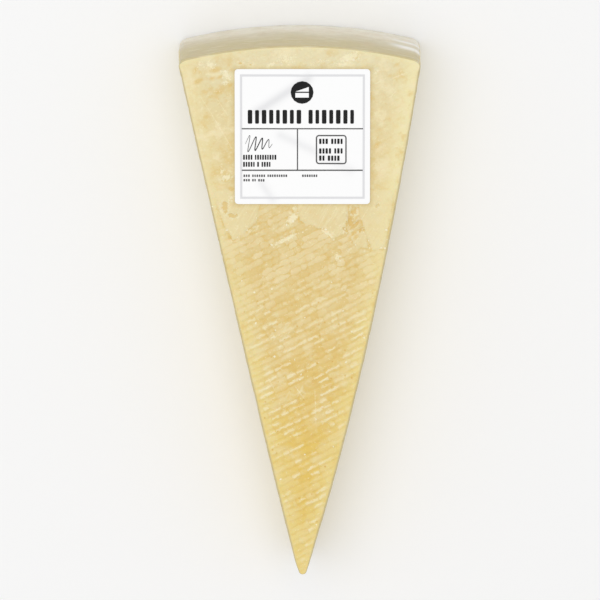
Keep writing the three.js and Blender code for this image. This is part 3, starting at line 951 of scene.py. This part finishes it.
def cheese_material(colours, marks, wedge_shape):
    """Paste with curd chips, drag marks, smooth patches and torn pits, and the rind."""
    material, nodes = shader("pecorino paste and rind")
    place = nodes.place()
    x, y, z = nodes.split(place)
    top, under, rind, edge, smear, pit, stain, crumb, film = (
        attribute(nodes, name)
        for name in ("top", "under", "rind", "edge", "smear", "pit", "stain", "crumb", "film"))
    flat = nodes.maths("MAXIMUM", top, under)
    cut = (1 - flat) * (1 - rind)
    over = over_surface(nodes, place, flat)
    along, across = along_wire(x, y)
    drift = nodes.swell(place, 0.06, 2.0)
    blotch = nodes.swell(nodes.vector("ADD", place, (31.0, 7.0, 5.0)), 0.17, 4.0, 0.62)
    coarse = nodes.swell(place, 0.42, 3.0, 0.6)
    fine = nodes.swell(place, 2.1, 3.0, 0.65)
    middling = nodes.swell(place, 0.95, 3.0, 0.65)
    fibre = nodes.noise(nodes.join(along * 0.9, across * 3.2, z), 2.0, 0.6)

    # slow change from the rind to the tip, and from the long edges to the middle
    way = (y + HALF_LENGTH) / (2 * HALF_LENGTH) + (drift - 0.5) * 0.12
    middle = nodes.add("ShaderNodeValToRGB", {"stops": (
        (0.03, colours.edge_lower), (0.1, colours.tip), (0.24, colours.tip), (0.41, colours.lower),
        (0.66, colours.middle), (0.83, colours.upper), (0.97, colours.near_rind))}, {0: way})
    side = nodes.mix(nodes.rise(way, 0.25, 0.85), colours.edge_lower, colours.edge_near_rind)
    # painted shade: the left long edge is toned darker, towards the middle colour, against the key light
    # from the left
    side = nodes.mix(nodes.rise(x, -12.0, -24.0) * top * 0.45, side, colours.middle)
    inner = nodes.rise(edge * PER_MM + (coarse - 0.5) * 5.0, 1.2, 9.0)
    paste = Coat(nodes, nodes.mix(inner, side, middle))

    # mottling: warm and pale clouds
    towards_tip = nodes.rise(way, 0.42, 0.22)
    paste.lay(nodes.rise(blotch, 0.5, 0.7) * (0.5 - towards_tip * 0.22), colours.grain)
    paste.lay(nodes.rise(blotch, 0.48, 0.3) * (0.3 - cut * 0.15), colours.gap)
    cloudy = nodes.rise(y, 34.0, 44.0)
    paste.lay(nodes.rise(coarse, 0.5, 0.68) * (0.5 - towards_tip * 0.22), colours.smear)
    paste.lay(nodes.rise(coarse, 0.48, 0.3) * (0.35 - cloudy * 0.17) * (1 - cut * 0.5), colours.gap)
    paste.lay(nodes.rise(blotch * 0.6 + coarse * 0.4, 0.5, 0.62) * cloudy * 0.4, colours.drag)
    paste.lay(nodes.rise(blotch * 0.6 + coarse * 0.4, 0.48, 0.36) * cloudy * (0.22 - cut * 0.12),
              colours.gap)

    cloud = blotch * 0.6 + drift * 0.4
    paste.lay(nodes.rise(cloud, 0.52, 0.36) * cut * (0.3 - cloudy * 0.14), colours.gap)
    paste.lay(nodes.rise(cloud, 0.48, 0.62) * cut * 0.4, colours.smear)

    # curd chips and their gaps, calmer near the rind and along the long edges
    marked = nodes.rise(y, 20.0, -8.0)
    off, beside, first, second = curd_chips(nodes, over, nodes.rise(y, 12.0, -8.0), marks.pitch * PER_MM,
                                            marks.chip * PER_MM)
    frayed = fine - 0.5
    ragged = (middling - 0.5) * 1.8 + frayed * 0.5
    slab = nodes.rise(smear + ragged, 0.15, -0.1) * top
    calm = nodes.rise(y + (coarse - 0.5) * 6, 30.0, 37.0) * (1 - cut) + cut * 0.4
    inside = nodes.maths("MAXIMUM", nodes.rise(edge * PER_MM, 0.5, 5.0), 1 - flat)
    broken = (1 - slab) * (1 - calm * 0.75) * (0.35 + 0.65 * inside) * (1 - cut * 0.25)
    open_paste = nodes.swell(nodes.vector("ADD", place, (9.0, 2.0, 70.0)), 0.3, 2.0)
    parted = nodes.rise(first, 0.15, 0.75)
    reach = off * off * 1.25 + beside * beside * 1.25 * parted + frayed * 0.26 + (middling - 0.5) * 0.3
    body = nodes.rise(reach + (0.5 - second) * 0.2, 0.3, 0.14)
    gap = nodes.rise(reach, 0.18, 0.4) * nodes.rise(open_paste, 0.3, 0.6)
    # painted shade: amber along the lower side of each row of chips
    lower_side = nodes.rise(off, -0.2, -0.46) * nodes.rise(open_paste, 0.62, 0.4)
    paste.lay(body * nodes.rise(second, 0.1, 1.0) * broken * (0.6 - marked * 0.3), colours.grain)
    paste.lay(nodes.rise(second, 0.3, 0.0) * broken * 0.25, colours.gap)
    amber = nodes.maths("MAXIMUM", gap * (0.6 - marked * 0.25), lower_side * fibre * 0.6)
    paste.lay(amber * broken, colours.gap)

    # smooth patches with faint streaks, and a painted shadow in amber on the torn paste along their raised
    # edges
    streak_along, streak_across = along_wire(x, y, 61.0)
    streaks = nodes.noise(nodes.join(streak_along * 0.12, streak_across * 1.3, 4.0), 2.0, 0.6)
    upper = nodes.rise(y, 10.0, 16.0)
    paste.lay(slab * (0.15 + upper * 0.3 + nodes.rise(streaks, 0.5, 0.66) * 0.4), colours.smear)
    # painted shadow: amber where the raised patches' edges shade the torn paste beside them
    patch_edge_shadow = nodes.rise(smear + ragged, 0.9, 0.2) * (1 - slab) * top * (1 - calm) * upper
    paste.lay(patch_edge_shadow * nodes.rise(open_paste, 0.4, 0.6) * 0.6, colours.gap)

    # drag marks, frayed along the wire, that come and go
    marked = marked * flat
    spells = nodes.noise(nodes.join(along * 0.1, across * 0.16, 5.5), 2.0)
    wide = 0.18 + nodes.rise(fibre, 0.35, 0.75) * 0.2
    crest = abs(off - 0.05 + (middling - 0.5) * 0.3) + frayed * 0.42
    dash = nodes.rise(crest, wide, wide * 0.3) * nodes.rise(first + (spells - 0.5) * 0.9, 0.35, 0.9)
    dash = dash * nodes.rise(abs(beside) + frayed * 0.25, 0.5, 0.3) * (0.1 + fibre) * marked
    dash = dash * nodes.rise(edge * PER_MM + (coarse - 0.5) * 4.0, 0.6, 3.0)
    # painted shade: amber in the groove beside each drag ridge, on one side of the row
    groove_shade = nodes.rise(abs(off + 0.32), 0.2, 0.0) * marked * (1 - slab)
    paste.lay(nodes.rise(spells, 0.52, 0.68) * marked * 0.3, colours.smear)
    paste.lay(groove_shade * 0.2, colours.gap)
    paste.lay(dash, colours.drag)

    # scratches
    scratch = 0.0
    for line in SCRATCHES:
        scratch = nodes.maths("MAXIMUM", scratch, scratch_strength(nodes, x, y, line))
    scratch = scratch * top * nodes.rise(fine * 0.5 + fibre * 0.5, 0.35, 0.62) * 0.6
    paste.lay(scratch, colours.drag)

    # blotches, crumbly places and torn pits
    paste.lay(nodes.rise(stain + ragged * 0.2, 0.2, 0.7) * top * 0.6, colours.gap)
    crumbly = nodes.rise(crumb + (middling - 0.5) * 1.1 + frayed * 1.3, 0.3, 0.6)
    crumbly = crumbly * nodes.rise(crumb, 0.05, 0.2) * top
    paste.lay(crumbly * 0.8, colours.drag)
    torn_at = pit + (middling - 0.5) * 0.7 + frayed * 0.45
    torn = nodes.rise(torn_at, 0.26, 0.42) * top
    flaked = nodes.rise(torn_at, 0.05, 0.15) * (1 - torn) * nodes.rise(fibre, 0.45, 0.55) * top
    paste.lay(flaked * 0.5, colours.drag)
    paste.lay(torn * (0.3 + fine * 0.6), colours.pit)

    # pinholes on the long cuts, amber specks between the drag marks, and a few fine cracks in the cuts
    pinhole = specks(nodes, place, frayed, 0.24, 0.07, 0.1) * nodes.maths("MAXIMUM", cut, marked * 0.5)
    paste.lay(pinhole * 0.65, colours.pit)
    speck = specks(nodes, place, frayed, 0.5, 0.17, 0.08) * marked * (1 - dash)
    paste.lay(speck * 0.9, colours.speck)
    split_at = nodes.noise(nodes.vector("MULTIPLY", over, (0.06, 0.17, 0.06)), 4.0, 0.6)
    crack = nodes.rise(abs(split_at - 0.5), 0.012, 0.003) * nodes.rise(open_paste, 0.56, 0.64) * cut
    paste.lay(crack * 0.6, colours.pit)

    # a bright line along the rind, and the label's shadow painted on the paste round it
    wheel = nodes.join(x, y - (RIND_MIDDLE_Y - wedge_shape.wheel_radius * PER_MM), 0.0)
    from_rind = wedge_shape.wheel_radius * PER_MM - nodes.vector_length(wheel)
    ends = nodes.rise(from_rind, 4.0, 1.0) * nodes.rise(abs(x), 6.0, 28.0)
    line = nodes.rise(from_rind + (coarse - 0.5) * 2.0, 2.6, 1.6) * 0.8
    paste.lay(nodes.maths("MAXIMUM", ends, line) * top * 0.7, colours.edge_near_rind)
    # painted shadow of the label: darker paste close round its edge
    shadowed = nodes.rise(label_distance(nodes, x, y) + (coarse - 0.5), 1.5, -0.2) * top
    paste.lay(shadowed * 0.55, colours.shadowed)
    paste.shade(0.95 + fine * 0.1 - (fine - 0.5) * calm * 0.06)

    # painted shade on the long cuts, darkest along their upper edge
    painted_rim_shade = nodes.rise(top, 0.5, 0.12) * (1 - under) * (0.2 + 0.7 * nodes.rise(z, 27.4, 28.8))
    paste.lay(painted_rim_shade, colours.side)

    skin = rind_skin(nodes, colours, place, blotch, coarse, middling, film)
    colour = nodes.mix(rind, paste.colour, skin)

    relief = ((fine * 0.5 + middling * 0.5) * (1 - calm * top * 0.6 + cut) + dash * 0.7 + slab * 0.6
              + crumbly * fine + scratch * 0.5 - gap * broken * 0.4 - torn * 1.2 - pinhole * 1.4
              - speck * 0.4 - crack * 1.2)
    surface(nodes, {"Subsurface Weight": 0.12, "Subsurface Radius": (1.0, 0.6, 0.3),
                    "Subsurface Scale": 2 * MM, "IOR": BENDING, "Coat Roughness": 0.2},
            {"Base Color": colour, "Roughness": 0.62 - rind * 0.15 - slab * 0.1 + fine * 0.08,
             "Coat Weight": rind * 0.25 + film * 0.3}, relief, 0.4, 0.14 * MM)
    return material


def plain_material(name, colour, roughness, grain_per_mm, grain_depth, crease_shade=None):
    """One colour with a fine grain; paper is a little grey where a crease turns away from the light."""
    material, nodes = shader(name)
    fibre = nodes.swell(nodes.place(), grain_per_mm, 3.0, 0.6)
    shaded = nodes.mix(fibre * grain_depth, colour, tuple(channel * 0.9 for channel in colour))
    if crease_shade is not None:
        shaded = nodes.mix(attribute(nodes, "crease") * 0.7, shaded, crease_shade)
    surface(nodes, {"IOR": BENDING, "Specular IOR Level": 0.25},
            {"Base Color": shaded, "Roughness": roughness + fibre * 0.1}, fibre, 0.1, 0.02 * MM)
    return material


def lump_material(name, pale, dark):
    """White crystals or torn flakes."""
    material, nodes = shader(name)
    cloud = nodes.swell(nodes.place(), 1.2, 2.0)
    shaded = nodes.mix(cloud, pale, dark)
    surface(nodes, {"IOR": BENDING, "Specular IOR Level": 0.3},
            {"Base Color": shaded, "Roughness": 0.5 + cloud * 0.15}, cloud, 0.2, 0.05 * MM)
    return material


# ---- The label: places on it are in millimetres from its middle ----

# Spacing of the mesh in lines, word blocks and the disc, and how far the ink stands off the paper.
LINE_CELL = 0.45
BLOCK_CELL = 0.7
DISC_CELL = 0.9
INK_LIFT = 0.015 * MM
# Steps in the bend of a rounded corner.
BEND_STEPS = 5
SHARP_EDGE = math.radians(40)


class Crease(NamedTuple):
    """A soft crease of the label from one end to the other, its half width and its strength."""
    x0: float
    y0: float
    x1: float
    y1: float
    width: float
    amount: float


CREASES = rows(Crease, (
    (-13.8, 8.7, 1.0, 18.5, 1.5, 1.0), (-6.1, 1.4, 3.5, -3.2, 1.4, 0.6), (3.5, -3.2, 14.6, -9.0, 1.6, 0.45),
    (-11.5, -13.8, -8.3, -18.6, 1.2, 0.6),
))


def crease_pattern(x, y, shift):
    """How strongly a place lies on a crease, or beside it, towards its right."""
    pattern = np.zeros_like(x)
    for crease in CREASES:
        run = np.array([crease.x1 - crease.x0, crease.y1 - crease.y0])
        length = np.hypot(*run)
        dx = x - crease.x0
        dy = y - crease.y0
        share = (dx * run[0] + dy * run[1]) / length ** 2
        off = (dx * run[1] - dy * run[0]) / length
        past = length * (share - np.clip(share, 0, 1))
        away = np.hypot(off - shift * crease.width, past)
        pattern = np.maximum(pattern, crease.amount * np.exp(-(away / crease.width) ** 2))
    return pattern


class Sheet:
    """Closed thin sheets that lie on the label's surface, gathered into one mesh."""

    def __init__(self, label, base, thickness):
        self.label = label
        self.centre = (LABEL_LOW + LABEL_HIGH) * 0.5
        self.base = base
        self.thickness = thickness
        self.points = []
        self.faces = []

    def add(self, flat, faces, rim):
        """A flat patch in millimetres from the label's middle, its faces, and its rim anticlockwise."""
        flat = np.asarray(flat, dtype=float)
        z = self.base + self.label.crease * crease_pattern(flat[:, 0], flat[:, 1], 0)
        x = self.centre.x + flat[:, 0] * MM
        y = self.centre.y + flat[:, 1] * MM
        count = len(flat)
        start = len(self.points)
        self.points.extend(np.c_[x, y, z + self.thickness].tolist())
        self.points.extend(np.c_[x, y, z].tolist())
        for face in faces:
            self.faces.append(tuple(start + k for k in face))
            self.faces.append(tuple(start + count + k for k in reversed(face)))
        for a, b in zip(rim, rim[1:] + rim[:1]):
            self.faces.append((start + a, start + count + a, start + count + b, start + b))

    def plate(self, x0, y0, x1, y1, corner, cell):
        """A rectangle with rounded corners."""
        half_x = (x1 - x0) / 2
        half_y = (y1 - y0) / 2
        corner = min(corner, half_x, half_y)
        straight = np.linspace(-(half_y - corner), half_y - corner, max(2, round(2 * half_y / cell) + 1))
        bend = np.linspace(0, math.pi / 2, BEND_STEPS)[1:]
        levels = np.r_[-(half_y - corner) - corner * np.sin(bend[::-1]), straight,
                       half_y - corner + corner * np.sin(bend)]
        if half_y - corner < 1e-6:
            levels = np.unique(levels.round(6))
        columns = np.linspace(-1, 1, max(2, round(2 * half_x / cell) + 1))
        flat = []
        for level in levels:
            into = max(0.0, abs(level) - (half_y - corner))
            reach = half_x - corner + math.sqrt(max(0.0, corner ** 2 - into ** 2))
            flat.extend([((x0 + x1) / 2 + reach * u, (y0 + y1) / 2 + level) for u in columns])
        wide = len(columns)
        tall = len(levels)
        faces = [(r * wide + c, r * wide + c + 1, (r + 1) * wide + c + 1, (r + 1) * wide + c)
                 for r in range(tall - 1) for c in range(wide - 1)]
        rim = ([*range(wide)] + [r * wide + wide - 1 for r in range(1, tall)]
               + [(tall - 1) * wide + c for c in range(wide - 2, -1, -1)]
               + [r * wide for r in range(tall - 2, 0, -1)])
        self.add(flat, faces, rim)

    def shape(self, corners):
        """A convex shape from its corners, anticlockwise."""
        self.add(corners, [tuple(range(len(corners)))], list(range(len(corners))))

    def strip(self, line, half_width):
        """A stroke along a line of points, tapered at its ends."""
        line = np.asarray(line, dtype=float)
        before = np.r_[line[:1], line[:-1]]
        after = np.r_[line[1:], line[-1:]]
        way = after - before
        way = way / np.hypot(*way.T)[:, None]
        share = np.linspace(0, 1, len(line))
        width = half_width * (0.35 + 0.65 * np.sin(math.pi * share))
        side = np.c_[-way[:, 1], way[:, 0]] * width[:, None]
        count = len(line)
        flat = np.r_[line - side, line + side]
        faces = [(k, k + 1, count + k + 1, count + k) for k in range(count - 1)]
        rim = list(range(count)) + list(range(2 * count - 1, count - 1, -1))
        self.add(flat, faces, rim)

    def ring(self, x0, y0, x1, y1, corner, line):
        """A frame line with rounded corners."""
        outer, inner = (rounded_loop(x0 + inset, y0 + inset, x1 - inset, y1 - inset,
                                     max(corner - inset, 0.02), x1 - x0, y1 - y0) for inset in (0.0, line))
        count = len(outer)
        start = len(self.points)
        faces = [(k, (k + 1) % count, count + (k + 1) % count, count + k) for k in range(count)]
        self.add(np.r_[outer, inner], faces, list(range(count)))
        for k in range(count):
            a = start + count + k
            b = start + count + (k + 1) % count
            self.faces.append((b, 2 * count + b, 2 * count + a, a))

    def build(self, name, material):
        piece = mesh_object(name, self.points, self.faces, material)
        piece.data.set_sharp_from_angle(angle=SHARP_EDGE)
        return piece


def rounded_loop(x0, y0, x1, y1, corner, width, height):
    """A rounded rectangle, anticlockwise, with as many points whatever its inset."""
    across = max(1, round(width / LINE_CELL))
    up = max(1, round(height / LINE_CELL))
    points = []
    for cx, cy, start, steps, way in ((x1 - corner, y0 + corner, -90, up, (0, 1)),
                                      (x1 - corner, y1 - corner, 0, across, (-1, 0)),
                                      (x0 + corner, y1 - corner, 90, up, (0, -1)),
                                      (x0 + corner, y0 + corner, 180, across, (1, 0))):
        for k in range(BEND_STEPS):
            angle = math.radians(start + 90 * k / BEND_STEPS)
            points.append((cx + corner * math.cos(angle), cy + corner * math.sin(angle)))
        end = math.radians(start + 90)
        ex = cx + corner * math.cos(end)
        ey = cy + corner * math.sin(end)
        run = (y1 - y0 if way[0] == 0 else x1 - x0) - 2 * corner
        for k in range(steps):
            points.append((ex + way[0] * run * k / steps, ey + way[1] * run * k / steps))
    return np.array(points)


def words(sheet, left, bottom, height, letter, gap, counts):
    """A line of plain blocks that stands for words: one block for each letter, some of them narrow."""
    x = left
    place = 0
    for count in counts:
        for _ in range(count):
            wide = letter * (1.0, 0.86, 1.0, 0.92, 0.8)[place % 5]
            sheet.plate(x, bottom, x + wide, bottom + height, 0.25 * letter, BLOCK_CELL)
            x += wide + gap
            place += 1
        x += letter
    return x


# ---- Operators ----

class CHEESE_OT_wedge(bpy.types.Operator):
    """Cut the wedge of cheese and carve its faces"""
    bl_idname = "cheese.wedge"
    bl_label = "Cut wedge"

    def execute(self, context):
        scene = context.scene
        material = cheese_material(scene.cheese_colours, scene.cheese_marks, scene.cheese_wedge)
        piece = Blank(scene.cheese_wedge).build(material)
        marks = scene.cheese_marks
        sizes = {name: getattr(marks, key) for key, name in RELIEF_SIZES.items()}
        add_node_modifier(piece, relief_tree(scene.cheese_wedge), {**sizes, "Material": material})
        settle(piece)
        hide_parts("pecorino_chunk")
        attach(piece, "root")
        return {"FINISHED"}


class CHEESE_OT_lumps(bpy.types.Operator):
    """Strew the white crystals and the torn flakes on the cut faces"""
    bl_idname = "cheese.lumps"
    bl_label = "Strew crystals and flakes"

    def execute(self, context):
        lumps = context.scene.cheese_lumps
        wedge = bpy.data.objects["cheese_wedge"]
        colours = context.scene.cheese_colours
        for name, where, density, least, most, flatness in (
                ("crystals", where_crystals, lumps.crystals, lumps.crystal_least, lumps.crystal_most,
                 lumps.crystal_flatness),
                ("flakes", where_flakes, lumps.flakes, lumps.flake_least, lumps.flake_most, lumps.flatness)):
            piece = bpy.data.objects.new(name, wedge.data.copy())
            context.scene.collection.objects.link(piece)
            add_node_modifier(piece, scatter_tree(name, where), {
                "Per square metre": density, "Smallest": least, "Largest": most, "Flatness": flatness,
                "Material": lump_material(name, colours.crystal, colours.drag)})
            settle(piece)
            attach(piece, "root")
        return {"FINISHED"}


class CHEESE_OT_label(bpy.types.Operator):
    """Stick the paper label on the upper cut face and print it"""
    bl_idname = "cheese.label"
    bl_label = "Stick label"

    def execute(self, context):
        label = context.scene.cheese_label
        size = (LABEL_HIGH - LABEL_LOW) * PER_MM
        paper = Sheet(label, LABEL_LOW.z, LABEL_HIGH.z - LABEL_LOW.z)
        paper.plate(-size.x / 2, -size.y / 2, size.x / 2, size.y / 2, label.corner * PER_MM,
                    label.cell * PER_MM)
        material = plain_material("label paper", label.paper, 0.5, 3.0, 0.1, label.crease_shade)
        sheet = paper.build("label_sheet", material)
        flat = (np.array(paper.points)[:, :2] - np.array(paper.centre)[:2]) * PER_MM
        shade = sheet.data.attributes.new("crease", "FLOAT", "POINT")
        shade.data.foreach_set("value", crease_pattern(flat[:, 0], flat[:, 1], 0.7).astype(np.float32))
        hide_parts("label")
        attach(sheet, "root")
        for name, colour, fill in (("label_print_pale", label.pale, print_frame),
                                   ("label_print_grey", label.grey, print_rules),
                                   ("label_print_black", label.black, print_words),
                                   ("label_print_white", label.paper, print_sign)):
            layer = 2 if fill is print_sign else 1
            ink = Sheet(label, LABEL_HIGH.z + INK_LIFT + (layer - 1) * label.ink, layer * label.ink)
            fill(ink)
            piece = ink.build(name, plain_material(name.replace("_", " "), colour, 0.5, 4.0, 0.1))
            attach(piece, "root")
        return {"FINISHED"}


def print_frame(ink):
    ink.ring(-18.6, -18.9, 18.6, 18.9, 0.1, 0.64)


def print_rules(ink):
    for corners in ((-18.1, 2.25, 18.1, 2.6), (-18.1, -10.4, 18.1, -10.0), (-1.65, -10.05, -1.3, 2.3)):
        ink.plate(*corners, 0.0, LINE_CELL)
    ink.ring(4.0, -8.35, 13.2, 0.55, 0.95, 0.4)
    for left, bottom, counts in ((-17.6, -12.25, (3, 6, 9)), (-17.6, -13.6, (3, 2, 3)),
                                 (-0.1, -12.25, (7,))):
        words(ink, left, bottom, 0.75, 0.5, 0.22, counts)


def print_words(ink):
    words(ink, -16.3, 3.95, 4.2, 1.35, 0.84, (8, 7))
    for bottom, counts in ((-7.0, (4, 9)), (-9.15, (5, 1, 4))):
        words(ink, -17.7, bottom, 1.5, 0.52, 0.26, counts)
    for bottom, counts in ((-2.2, (3, 4)), (-5.1, (4, 3)), (-7.3, (2, 4))):
        words(ink, 5.0, bottom, 1.6, 0.68, 0.32, counts)
    ink.plate(-3.5, 10.0, 3.3, 16.9, 3.4, DISC_CELL)
    share = np.linspace(0, 1, 120)
    rise = 2.7 * np.sin(share * 8 * math.pi) * (1 - 0.6 * share)
    ink.strip(np.c_[-17.0 + 8.0 * share + rise * 0.3, -2.2 + rise], 0.15)


def print_sign(ink):
    """A plain wedge sign on the black disc."""
    ink.shape([(-2.1, 11.9), (1.9, 11.9), (1.9, 13.3), (-2.1, 13.3)])
    ink.shape([(-2.1, 13.7), (1.9, 13.7), (1.9, 15.1)])


# The floor, the lamp and how far the camera sees, in metres; the camera's sensor, in millimetres.
FLOOR_HALF = 4.0
FLOOR_DROP = 0.05 * MM
KEY_SIZE = 1.4
KEY_PLACE = (-0.14, 0.2, 1.4)
FARTHEST = 20
SENSOR_WIDTH = 36


class CHEESE_OT_stage(bpy.types.Operator):
    """Set up the floor, the soft light and the camera"""
    bl_idname = "cheese.stage"
    bl_label = "Set stage"

    def execute(self, context):
        scene = context.scene
        stage = scene.cheese_stage
        corners = [(x * FLOOR_HALF, y * FLOOR_HALF, -FLOOR_DROP)
                   for x, y in ((-1, -1), (1, -1), (1, 1), (-1, 1))]
        floor = mesh_object("floor", corners, [(0, 1, 2, 3)],
                            plain_material("pale floor", stage.floor, 0.8, 0.02, 0.02))
        world = bpy.data.worlds.new("even sky")
        world.use_nodes = True
        world.node_tree.nodes.clear()
        nodes = Nodes(world.node_tree)
        sky = nodes.add("ShaderNodeBackground", None, {"Color": (1, 1, 1, 1), "Strength": stage.sky})
        nodes.add("ShaderNodeOutputWorld", None, {"Surface": sky}, ())
        scene.world = world
        lamp = bpy.data.lights.new("soft key", "AREA")
        lamp.energy = stage.key_power
        lamp.size = KEY_SIZE
        key = bpy.data.objects.new("soft key", lamp)
        key.location = KEY_PLACE
        key.rotation_euler = Vector(key.location).to_track_quat("Z", "Y").to_euler()
        scene.collection.objects.link(key)
        camera = bpy.data.cameras.new("camera")
        camera.sensor_width = SENSOR_WIDTH
        camera.lens = camera.sensor_width * stage.distance / stage.view_width
        camera.clip_end = FARTHEST
        view = bpy.data.objects.new("camera", camera)
        towards = Vector((0, math.sin(stage.tilt), math.cos(stage.tilt)))
        view.location = Vector(stage.aim) + towards * stage.distance
        view.rotation_euler = (-stage.tilt, 0, 0)
        scene.collection.objects.link(view)
        scene.camera = view
        scene.view_settings.view_transform = "Standard"
        return {"FINISHED"}


class CHEESE_PT_chunk(bpy.types.Panel):
    """Cheese panel in the sidebar"""
    bl_idname = "CHEESE_PT_chunk"
    bl_label = "Pecorino chunk"
    bl_space_type = "VIEW_3D"
    bl_region_type = "UI"
    bl_category = "Cheese"

    def draw(self, context):
        for operator in OPERATORS:
            self.layout.operator(operator.bl_idname)
        for name in SETTINGS:
            box = self.layout.box()
            settings = getattr(context.scene, name)
            for key in settings.__annotations__:
                box.prop(settings, key)


SETTINGS = {"cheese_wedge": WedgeShape, "cheese_marks": CutFaceMarks, "cheese_colours": PasteColours,
            "cheese_lumps": ScatteredLumps, "cheese_label": LabelShape, "cheese_stage": StageSetup}
OPERATORS = (CHEESE_OT_wedge, CHEESE_OT_lumps, CHEESE_OT_label, CHEESE_OT_stage)


def register():
    for cls in (*SETTINGS.values(), *OPERATORS, CHEESE_PT_chunk):
        bpy.utils.register_class(cls)
    for name, cls in SETTINGS.items():
        setattr(bpy.types.Scene, name, PointerProperty(type=cls))


def unregister():
    for name in SETTINGS:
        delattr(bpy.types.Scene, name)
    for cls in (CHEESE_PT_chunk, *OPERATORS, *SETTINGS.values()):
        bpy.utils.unregister_class(cls)


def main():
    register()
    bpy.ops.cheese.wedge()
    bpy.ops.cheese.lumps()
    bpy.ops.cheese.label()
    bpy.ops.cheese.stage()


if __name__ == "__main__":
    main()
